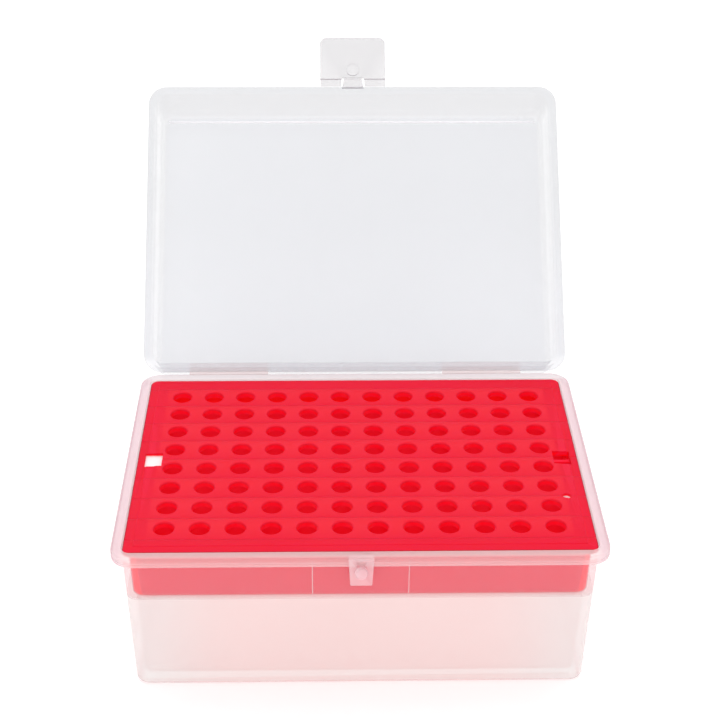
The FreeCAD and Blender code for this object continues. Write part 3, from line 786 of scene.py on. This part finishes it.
def group(name, inputs, outputs):
    """An empty node group with its sockets: (name, default) for inputs, names for outputs."""
    tree = bpy.data.node_groups.new(name, "ShaderNodeTree")
    for label, value in inputs:
        kind = "NodeSocketVector" if value is None else "NodeSocketFloat"
        socket = tree.interface.new_socket(name=label, in_out="INPUT", socket_type=kind)
        if value is not None:
            socket.default_value = value
    for label, kind in outputs:
        tree.interface.new_socket(name=label, in_out="OUTPUT", socket_type=kind)
    start = tree.nodes.new("NodeGroupInput")
    end = tree.nodes.new("NodeGroupOutput")
    start.location = (-700, 0)
    end.location = (500, 0)
    return tree, start, end


drift_tree, start, end = group(
    "Slow drift", [("Vector", None), ("Scale", DRIFT_SCALE)], [("Mask", "NodeSocketFloat")]
)
noise = drift_tree.nodes.new("ShaderNodeTexNoise")
noise.inputs["Detail"].default_value = 0
drift_tree.links.new(start.outputs["Vector"], noise.inputs["Vector"])
drift_tree.links.new(start.outputs["Scale"], noise.inputs["Scale"])
drift_tree.links.new(noise.outputs["Fac"], end.inputs["Mask"])

grain_tree, start, end = group(
    "Moulded grain",
    [("Vector", None), ("Scale", 900.0), ("Strength", 0.1), ("Depth", 0.0001), ("Relief", 0.0)],
    [("Normal", "NodeSocketVector"), ("Height", "NodeSocketFloat")],
)
fine = grain_tree.nodes.new("ShaderNodeTexNoise")
fine.inputs["Detail"].default_value = 3
wave = grain_tree.nodes.new("ShaderNodeTexNoise")
wave.inputs["Scale"].default_value = WAVE_SCALE
wave.inputs["Detail"].default_value = 0
both = grain_tree.nodes.new("ShaderNodeMath")
both.operation = "MULTIPLY_ADD"
both.inputs[1].default_value = GRAIN_SHARE
bump = grain_tree.nodes.new("ShaderNodeBump")
grain_tree.links.new(start.outputs["Vector"], fine.inputs["Vector"])
grain_tree.links.new(start.outputs["Scale"], fine.inputs["Scale"])
grain_tree.links.new(start.outputs["Vector"], wave.inputs["Vector"])
grain_tree.links.new(fine.outputs["Fac"], both.inputs[0])
grain_tree.links.new(wave.outputs["Fac"], both.inputs[2])
relief = grain_tree.nodes.new("ShaderNodeMath")
relief.operation = "ADD"
grain_tree.links.new(both.outputs["Value"], relief.inputs[0])
grain_tree.links.new(start.outputs["Relief"], relief.inputs[1])
grain_tree.links.new(relief.outputs["Value"], bump.inputs["Height"])
grain_tree.links.new(start.outputs["Strength"], bump.inputs["Strength"])
grain_tree.links.new(start.outputs["Depth"], bump.inputs["Distance"])
grain_tree.links.new(bump.outputs["Normal"], end.inputs["Normal"])
grain_tree.links.new(both.outputs["Value"], end.inputs["Height"])

# Painted light and shade: these masks make ridges and folds lighter or darker by each finish's tones.
edge_light_tree, start, end = group(
    "Ridges and folds",
    [("Low", EDGE_LOW), ("High", EDGE_HIGH)],
    [("Ridge", "NodeSocketFloat"), ("Fold", "NodeSocketFloat")],
)
geometry = edge_light_tree.nodes.new("ShaderNodeNewGeometry")
for label, sign in (("Ridge", 1), ("Fold", -1)):
    apart = edge_light_tree.nodes.new("ShaderNodeMath")
    apart.operation = "MULTIPLY_ADD"
    apart.inputs[1].default_value = sign
    apart.inputs[2].default_value = -0.5 * sign
    spread = edge_light_tree.nodes.new("ShaderNodeMapRange")
    edge_light_tree.links.new(geometry.outputs["Pointiness"], apart.inputs[0])
    edge_light_tree.links.new(apart.outputs["Value"], spread.inputs["Value"])
    edge_light_tree.links.new(start.outputs["Low"], spread.inputs["From Min"])
    edge_light_tree.links.new(start.outputs["High"], spread.inputs["From Max"])
    edge_light_tree.links.new(spread.outputs["Result"], end.inputs[label])

# %% [markdown]
# Each finish is a Principled shader with four tones: the plain one, a second that the slow drift
# mixes in, and two of painted light and shade, one for the ridges and one for the folds. The clear
# plastic isn't glass: natural polypropylene is milky, so it is a pale surface that lets most of the
# light straight through, set on Alpha. A wall seen edge-on is a longer way through the plastic, so
# Alpha can change as the surface turns away. The small helpers come first: they make a Math node, a
# mask between two values, and the X, Y and Z of a vector.

# %% Helpers for the finishes
FACING_BLEND = 0.35


def tone(red, green, blue):
    """A linear colour from screen values of 0 to 255."""
    def straight(value):
        value = value / 255
        return value / 12.92 if value <= 0.04045 else ((value + 0.055) / 1.055) ** 2.4
    return (straight(red), straight(green), straight(blue), 1.0)


def add_group(tree, source, values):
    """Places a shared effect in a material's tree with its own values."""
    node = tree.nodes.new("ShaderNodeGroup")
    node.node_tree = source
    for label, value in values.items():
        node.inputs[label].default_value = value
    return node


def mix_colour(tree, mask, first, second):
    """Mixes two colours or colour sockets by a mask socket."""
    node = tree.nodes.new("ShaderNodeMix")
    node.data_type = "RGBA"
    for socket, value in ((node.inputs[6], first), (node.inputs[7], second)):
        if isinstance(value, tuple):
            socket.default_value = value
        else:
            tree.links.new(value, socket)
    tree.links.new(mask, node.inputs[0])
    return node.outputs[2]


def calculate(tree, operation, *values):
    """A Math node whose inputs are numbers or sockets."""
    node = tree.nodes.new("ShaderNodeMath")
    node.operation = operation
    for socket, value in zip(node.inputs, values):
        if isinstance(value, (int, float)):
            socket.default_value = value
        else:
            tree.links.new(value, socket)
    return node.outputs["Value"]


def band_mask(tree, value, low, high):
    """A smooth mask that rises from 0 to 1 between two values."""
    node = tree.nodes.new("ShaderNodeMapRange")
    node.interpolation_type = "SMOOTHSTEP"
    node.inputs["From Min"].default_value = low
    node.inputs["From Max"].default_value = high
    tree.links.new(value, node.inputs["Value"])
    return node.outputs["Result"]


def parts_of(tree, vector):
    """The X, Y and Z of a vector socket."""
    node = tree.nodes.new("ShaderNodeSeparateXYZ")
    tree.links.new(vector, node.inputs["Vector"])
    return node.outputs


def moulded_plastic(
    name, tones, roughness, specular, grain, alpha=None, blush=None, dense=(), relief=None
):
    """A moulded plastic finish.

    tones are (plain, drift, ridge, fold), where ridge and fold are painted light and shade on edges;
    roughness is (low, high) and alpha is (facing, edge-on).
    blush is a function that takes the tree, the object coordinates and a colour socket, and returns
    the colour socket with local tints mixed in, most of them painted light and shade. dense lists bands
    of height, (from, to, amount), over which the plastic lets less light through. relief is a function
    like blush that gives a height.
    """
    material = bpy.data.materials.new(name)
    material.use_nodes = True
    tree = material.node_tree
    shader = tree.nodes["Principled BSDF"]
    shader.inputs["Specular IOR Level"].default_value = specular
    place = tree.nodes.new("ShaderNodeTexCoord")
    drift = add_group(tree, drift_tree, {"Scale": DRIFT_SCALE})
    edge = add_group(tree, edge_light_tree, {"Low": EDGE_LOW, "High": EDGE_HIGH})
    skin = add_group(tree, grain_tree, grain)
    tree.links.new(place.outputs["Object"], drift.inputs["Vector"])
    tree.links.new(place.outputs["Object"], skin.inputs["Vector"])
    if relief:
        tree.links.new(relief(tree, place.outputs["Object"]), skin.inputs["Relief"])
    colour = mix_colour(tree, drift.outputs["Mask"], tones[0], tones[1])
    if blush:
        colour = blush(tree, place.outputs["Object"], colour)
    # ridge and fold tones: painted light and shade on the edges
    colour = mix_colour(tree, edge.outputs["Ridge"], colour, tones[2])
    colour = mix_colour(tree, edge.outputs["Fold"], colour, tones[3])
    tree.links.new(colour, shader.inputs["Base Color"])
    rough = tree.nodes.new("ShaderNodeMapRange")
    rough.inputs["To Min"].default_value = roughness[0]
    rough.inputs["To Max"].default_value = roughness[1]
    tree.links.new(skin.outputs["Height"], rough.inputs["Value"])
    tree.links.new(rough.outputs["Result"], shader.inputs["Roughness"])
    tree.links.new(skin.outputs["Normal"], shader.inputs["Normal"])
    if alpha:
        facing = tree.nodes.new("ShaderNodeLayerWeight")
        facing.inputs["Blend"].default_value = FACING_BLEND
        thick = tree.nodes.new("ShaderNodeMapRange")
        thick.inputs["To Min"].default_value = alpha[0]
        thick.inputs["To Max"].default_value = alpha[1]
        tree.links.new(facing.outputs["Facing"], thick.inputs["Value"])
        opacity = thick.outputs["Result"]
        for low, high, amount in dense:
            part = band_mask(tree, parts_of(tree, place.outputs["Object"])[2], low, high)
            opacity = calculate(tree, "MULTIPLY_ADD", part, amount, opacity)
        tree.links.new(opacity, shader.inputs["Alpha"])
    return material


def dress(made, material):
    """Gives an object its one material."""
    made.data.materials.clear()
    made.data.materials.append(material)


# %% [markdown]
# The rack is a saturated red with a low, even gloss. Down inside the holes the red turns deeper and
# seems to glow, because light soaks through the plate and bounces from red to red. The mask for the
# depths paints both: a purer red for the bounced light, and a faint emission, a painted glow that
# stands for the light that soaks through. Behind each row of holes lies a soft crest whose mask feeds
# the bump and also paints a highlight, a little lighter. Painted shade darkens the red in the narrow
# gap between plate and rim.

# %% Red rack
# Painted highlight: the crests behind the rows of holes are made lighter, as if they catch the light.
CREST_HIGHLIGHT_RED = tone(225, 30, 51)
# Painted shade: the red is darkened in the gap between plate and rim.
GAP_SHADE_RED = tone(120, 10, 30)
# Painted light: a purer red and a faint glow deep in the holes stand for light bounced from red to red.
BOUNCE_LIGHT_RED = tone(240, 2, 8)
PAINTED_GLOW_RED = (0.17, 0.0, 0.001, 1.0)
CREST_CURVE = ((0.45, 0.8), (0.7, 1))
CREST_HEIGHT = 8.0
RACK_GRAIN = {"Scale": 900.0, "Strength": 1.0, "Depth": 0.00004}
FLANGE_BAND = (flange_under - 0.3 * MM, flange_under + 0.3 * MM)


def past_edge(tree, x, y, inset):
    """How far a point lies outside the rack's outline, moved in by inset."""
    along = calculate(tree, "SUBTRACT", calculate(tree, "ABSOLUTE", x), RACK[0] / 2 - inset)
    across = calculate(tree, "SUBTRACT", calculate(tree, "ABSOLUTE", y), RACK[1] / 2 - inset)
    return calculate(tree, "MAXIMUM", along, across)


def in_the_depths(tree, vector):
    """A mask for what lies under the plate's surface and inside the skirt."""
    x, y, z = parts_of(tree, vector)
    below = band_mask(tree, z, top - 0.3 * MM, top - 1.0 * MM)
    inside = band_mask(tree, past_edge(tree, x, y, LIP + 0.6 * MM), 0.1 * MM, -0.1 * MM)
    return calculate(tree, "MULTIPLY", below, inside)


def row_crests(tree, vector):
    """A mask with one soft crest behind each row of holes."""
    _, y, _ = parts_of(tree, vector)
    within = calculate(tree, "FRACT", calculate(tree, "DIVIDE", y, PITCH))
    crest = tree.nodes.new("ShaderNodeFloatCurve")
    points = crest.mapping.curves[0].points
    points[0].location, points[1].location = (0, 0), (1, 0)
    for place, height in CREST_CURVE:
        points.new(place, height)
    crest.mapping.update()
    tree.links.new(within, crest.inputs["Value"])
    return crest.outputs["Value"]


def rack_painted_light(tree, vector, colour):
    """Paints a highlight on the crests of the rows, shade in the gap round the plate, and the red
    bounce light deep in the holes.
    """
    x, y, z = parts_of(tree, vector)
    field_edge = past_edge(tree, x, y, RACK[0] / 2 - half_grid)
    in_grid = band_mask(tree, field_edge, 0.2 * MM, -0.8 * MM)
    crest_highlight = calculate(tree, "MULTIPLY", row_crests(tree, vector), in_grid)
    # painted highlight on the row crests
    colour = mix_colour(tree, crest_highlight, colour, CREST_HIGHLIGHT_RED)
    # painted shade in the gap between plate and rim
    rim = band_mask(tree, past_edge(tree, x, y, 0), -0.4 * MM, -0.15 * MM)
    gap = calculate(tree, "MULTIPLY", rim, band_mask(tree, z, *FLANGE_BAND))
    colour = mix_colour(tree, gap, colour, GAP_SHADE_RED)
    # painted bounce light deep in the holes
    return mix_colour(tree, in_the_depths(tree, vector), colour, BOUNCE_LIGHT_RED)


def row_relief(tree, vector):
    """The height that goes with the crests."""
    return calculate(tree, "MULTIPLY", row_crests(tree, vector), CREST_HEIGHT)


red = moulded_plastic(
    "red moulded plastic",
    (tone(217, 8, 43), tone(221, 11, 49), tone(223, 22, 57), tone(209, 7, 34)),
    (0.4, 0.55),
    0.1,
    RACK_GRAIN,
    blush=rack_painted_light,
    relief=row_relief,
)
red_shader = red.node_tree.nodes["Principled BSDF"]
red_shader.inputs["Subsurface Weight"].default_value = 0.5
red_shader.inputs["Subsurface Radius"].default_value = (1.0, 0.15, 0.1)
red_shader.inputs["Subsurface Scale"].default_value = 3 * MM
# The emission is a painted glow deep in the holes, not a lamp.
red_shader.inputs["Emission Strength"].default_value = 1.0
place = red.node_tree.nodes["Texture Coordinate"].outputs["Object"]
depths = in_the_depths(red.node_tree, place)
painted_glow = mix_colour(red.node_tree, depths, (0.0, 0.0, 0.0, 1.0), PAINTED_GLOW_RED)
red.node_tree.links.new(painted_glow, red_shader.inputs["Emission Color"])
dress(rack, red)
dress(ribs, red)

# %% [markdown]
# The tub, the lid and the latch are the same natural plastic in three thicknesses. The tub is full
# of light that has bounced off the red rack, and that light is painted into its colour: its walls
# blush, most in the middle and at the rim, and least towards its two ends, and the flange's front,
# sides and rear get painted tones of bounced light and shade of their own. The catch's pink is painted
# bounce light too, and the lid's walls carry painted shade. The plugs let no light through. The thin
# webs of the latch are greyer than the lid's two films, and the bead is a painted highlight, with a
# faint glow that stands for the light along the lid's fold.

# %% Clear plastics
TUB_GRAIN = {"Scale": 500.0, "Strength": 0.08, "Depth": 0.0001}
LID_GRAIN = {"Scale": 400.0, "Strength": 0.08, "Depth": 0.0001}
FILM_GRAIN = {"Scale": 700.0, "Strength": 0.1, "Depth": 0.0001}
ENDS_BAND = (30 * MM, 60 * MM)
FRONT_BAND = (-40 * MM, -42 * MM)
SIDES_BAND = (57.5 * MM, 60.5 * MM)
REAR_BAND = (40.5 * MM, 42 * MM)
PAINTED_HIGHLIGHT_GLOW = 0.16


def painted_red_bounce(tree, vector, colour):
    """Paints the red light bounced off the rack: fades the pink of the tub to a cooler tone at its
    ends, deepens it beside the rack, and gives the flange's front, sides and rear their own painted
    tones of bounced light and shade.
    """
    x, y, z = parts_of(tree, vector)
    far = calculate(tree, "ABSOLUTE", x)
    # Painted light: the pink stands for red light bounced off the rack.
    cooler = mix_colour(tree, band_mask(tree, far, *ENDS_BAND), colour, tone(243, 236, 235))
    beside = band_mask(tree, z, ledge_level, ledge_level + 2 * MM)
    warmer = mix_colour(tree, beside, cooler, tone(250, 176, 186))
    front = band_mask(tree, y, *FRONT_BAND)
    # painted bounce light and shade on the flange, one tone for each side
    flange = mix_colour(tree, front, tone(244, 212, 214), tone(242, 208, 208))
    flange = mix_colour(tree, band_mask(tree, far, *SIDES_BAND), flange, tone(200, 148, 163))
    flange = mix_colour(tree, band_mask(tree, y, *REAR_BAND), flange, tone(206, 198, 202))
    return mix_colour(tree, band_mask(tree, z, *FLANGE_BAND), warmer, flange)


def lid_shade_and_tints(tree, vector, colour):
    """Paints shade on the open lid's walls, lightens the lid towards the hinge and more on its rim
    there, and warms its rim where the two film hinges join it.
    """
    x, y, z = parts_of(tree, vector)
    far = calculate(tree, "ABSOLUTE", x)
    along_y = calculate(tree, "MULTIPLY_ADD", y, -math.cos(LID_ANGLE), HINGE_Y * math.cos(LID_ANGLE))
    along_z = calculate(tree, "MULTIPLY_ADD", z, math.sin(LID_ANGLE), -HINGE_Z * math.sin(LID_ANGLE))
    reach = calculate(tree, "ADD", along_y, along_z)
    lid_length = HINGE_Y - FRONT
    beyond = calculate(
        tree,
        "MAXIMUM",
        calculate(tree, "SUBTRACT", far, FLANGE[0] / 2 - 3.8 * MM),
        calculate(tree, "SUBTRACT", reach, lid_length - 3.3 * MM),
    )
    # painted shade on the lid's side and front walls
    colour = mix_colour(tree, band_mask(tree, beyond, -0.3 * MM, 0.3 * MM), colour, tone(124, 127, 138))
    colour = mix_colour(tree, band_mask(tree, reach, 60 * MM, 5 * MM), colour, tone(162, 165, 178))
    colour = mix_colour(tree, band_mask(tree, reach, 5.5 * MM, 4.0 * MM), colour, tone(204, 206, 213))
    low, high = STRAP_X - STRAP_WIDTH / 2, STRAP_X + STRAP_WIDTH / 2
    mask = band_mask(tree, far, low - 0.2 * MM, low + 0.2 * MM)
    for value, start, end in (
        (far, high + 0.2 * MM, high - 0.2 * MM),
        (z, HINGE_Z + 2.4 * MM, HINGE_Z + 2.1 * MM),
        (y, HINGE_Y + 2.7 * MM, HINGE_Y + 2.4 * MM),
    ):
        mask = calculate(tree, "MULTIPLY", mask, band_mask(tree, value, start, end))
    return mix_colour(tree, mask, colour, tone(196, 176, 180))


# The tub's pink tones are painted red light, bounced off the rack.
clear_tub = moulded_plastic(
    "clear tub plastic",
    (tone(248, 228, 226), tone(251, 233, 231), tone(238, 202, 206), tone(244, 214, 214)),
    (0.29, 0.4),
    0.5,
    TUB_GRAIN,
    alpha=(0.16, 0.3),
    blush=painted_red_bounce,
    dense=((*FLANGE_BAND, 0.22), (ledge_level + MM, ledge_level, 0.26)),
)
pale_plugs = moulded_plastic(
    "pale plug plastic",
    (tone(238, 226, 226), tone(242, 232, 232), tone(246, 236, 236), tone(230, 210, 210)),
    (0.3, 0.5),
    0.5,
    TUB_GRAIN,
)
# The catch's pink tones are painted red light, bounced off the rack.
clear_catch = moulded_plastic(
    "clear catch plastic",
    (tone(250, 204, 210), tone(252, 212, 218), tone(255, 232, 236), tone(240, 176, 184)),
    (0.29, 0.4),
    0.5,
    TUB_GRAIN,
    alpha=(0.3, 0.45),
)
clear_lid = moulded_plastic(
    "clear lid plastic",
    (tone(134, 138, 153), tone(139, 143, 158), tone(134, 136, 146), tone(244, 245, 248)),
    (0.12, 0.2),
    0.2,
    LID_GRAIN,
    alpha=(0.26, 0.25),
    blush=lid_shade_and_tints,
)
# The bead's finish is a painted highlight: near white, nearly opaque, with a faint glow.
painted_highlight_bead = moulded_plastic(
    "bright bead plastic",
    (tone(236, 238, 242), tone(242, 244, 247), tone(250, 250, 252), tone(220, 222, 226)),
    (0.29, 0.4),
    0.5,
    LID_GRAIN,
    alpha=(0.8, 0.9),
)
clear_latch = moulded_plastic(
    "clear latch plastic",
    (tone(146, 141, 147), tone(152, 147, 153), tone(196, 192, 196), tone(190, 186, 190)),
    (0.29, 0.38),
    0.5,
    TUB_GRAIN,
    alpha=(0.3, 0.45),
)
latch_web = moulded_plastic(
    "latch web plastic",
    (tone(150, 145, 151), tone(156, 151, 157), tone(168, 163, 168), tone(160, 156, 160)),
    (0.3, 0.5),
    0.3,
    FILM_GRAIN,
    alpha=(0.31, 0.36),
)
film_plastic = moulded_plastic(
    "film hinge plastic",
    (tone(214, 186, 188), tone(220, 194, 196), tone(226, 206, 206), tone(206, 180, 180)),
    (0.3, 0.5),
    0.5,
    FILM_GRAIN,
    alpha=(0.35, 0.5),
)
# The bead's white glow is a painted highlight along the lid's fold, not a lamp.
highlight_shader = painted_highlight_bead.node_tree.nodes["Principled BSDF"]
highlight_shader.inputs["Emission Color"].default_value = (1, 1, 1, 1)
highlight_shader.inputs["Emission Strength"].default_value = PAINTED_HIGHLIGHT_GLOW
dress(tub, clear_tub)
dress(catch, clear_catch)
dress(plugs, pale_plugs)
dress(lid, clear_lid)
dress(bead, painted_highlight_bead)
for made in (keeper, flap):
    dress(made, clear_latch)
for made in straps:
    dress(made, film_plastic if made.name.startswith("lid_film") else latch_web)

# %% [markdown]
# The stage is a pale floor under soft studio light. A wide soft light stands behind and above the
# box, so the back of each row of holes is lit a little more than its front. A weaker fill stands in
# front, and a narrow one draws a soft gleam down the lid's left side. The surround is white to the
# camera and a little weaker as a light.

# %% Floor and light
FLOOR_HALF = 4
FLOOR_GREY = (0.97, 0.97, 0.97, 1)
FLOOR_GLOW = 0.15
SURROUND_LIGHT = 0.75
AIM = (0, 0, 0.04)

bm = bmesh.new()
bmesh.ops.create_grid(bm, x_segments=1, y_segments=1, size=FLOOR_HALF)
ground = as_object("floor", bm)
pale = bpy.data.materials.new("pale floor")
pale.use_nodes = True
pale_shader = pale.node_tree.nodes["Principled BSDF"]
pale_shader.inputs["Base Color"].default_value = FLOOR_GREY
pale_shader.inputs["Roughness"].default_value = 0.9
pale_shader.inputs["Specular IOR Level"].default_value = 0.1
pale_shader.inputs["Emission Color"].default_value = (1, 1, 1, 1)
pale_shader.inputs["Emission Strength"].default_value = FLOOR_GLOW
ground.data.materials.append(pale)

world = bpy.data.worlds.new("surround")
bpy.context.scene.world = world
world.use_nodes = True
background = world.node_tree.nodes["Background"]
background.inputs["Color"].default_value = (1, 1, 1, 1)
seen = world.node_tree.nodes.new("ShaderNodeLightPath")
strength = world.node_tree.nodes.new("ShaderNodeMapRange")
strength.inputs["To Min"].default_value = SURROUND_LIGHT
strength.inputs["To Max"].default_value = 1.0
world.node_tree.links.new(seen.outputs["Is Camera Ray"], strength.inputs["Value"])
world.node_tree.links.new(strength.outputs["Result"], background.inputs["Strength"])


def area_light(name, place, target, size, watts):
    """A soft square light that looks at a point."""
    data = bpy.data.lights.new(name, "AREA")
    data.shape = "RECTANGLE"
    data.size, data.size_y = size
    data.energy = watts
    light = bpy.data.objects.new(name, data)
    bpy.context.scene.collection.objects.link(light)
    light.location = place
    light.rotation_euler = (Vector(target) - Vector(place)).to_track_quat("-Z", "Y").to_euler()


area_light("key light", (0.0, 0.6, 1.1), AIM, (1.4, 1.2), 7.5)
area_light("front fill", (0.0, -1.2, 0.7), AIM, (1.2, 0.8), 5)
area_light("lid gleam", (-0.15, -0.35, 0.95), (-0.04, 0.1, 0.1), (0.07, 0.3), 0.5)

# %% [markdown]
# The camera stands in front of the box and looks down at it by thirty degrees with a long lens, so
# the rack's rows converge only a little.

# %% Camera
ELEVATION = math.radians(30.235)
AZIMUTH = math.radians(-1.362)
ROLL = math.radians(0.432)
LENS, SENSOR = 80.08, 36
CAMERA_PLACE = (-0.00822, -0.35926, 0.28327)

camera_data = bpy.data.cameras.new("camera")
camera_data.lens = LENS
camera_data.sensor_width = SENSOR
camera = bpy.data.objects.new("camera", camera_data)
bpy.context.scene.collection.objects.link(camera)
back = Vector((
    math.sin(AZIMUTH) * math.cos(ELEVATION),
    -math.cos(AZIMUTH) * math.cos(ELEVATION),
    math.sin(ELEVATION),
))
right = Vector((math.cos(AZIMUTH), math.sin(AZIMUTH), 0))
up = back.cross(right)
camera_right = math.cos(ROLL) * right + math.sin(ROLL) * up
camera_up = math.cos(ROLL) * up - math.sin(ROLL) * right
turn = Matrix((camera_right, camera_up, back)).transposed().to_4x4()
camera.matrix_world = Matrix.Translation(CAMERA_PLACE) @ turn
bpy.context.scene.camera = camera
bpy.context.scene.view_settings.view_transform = "Standard"
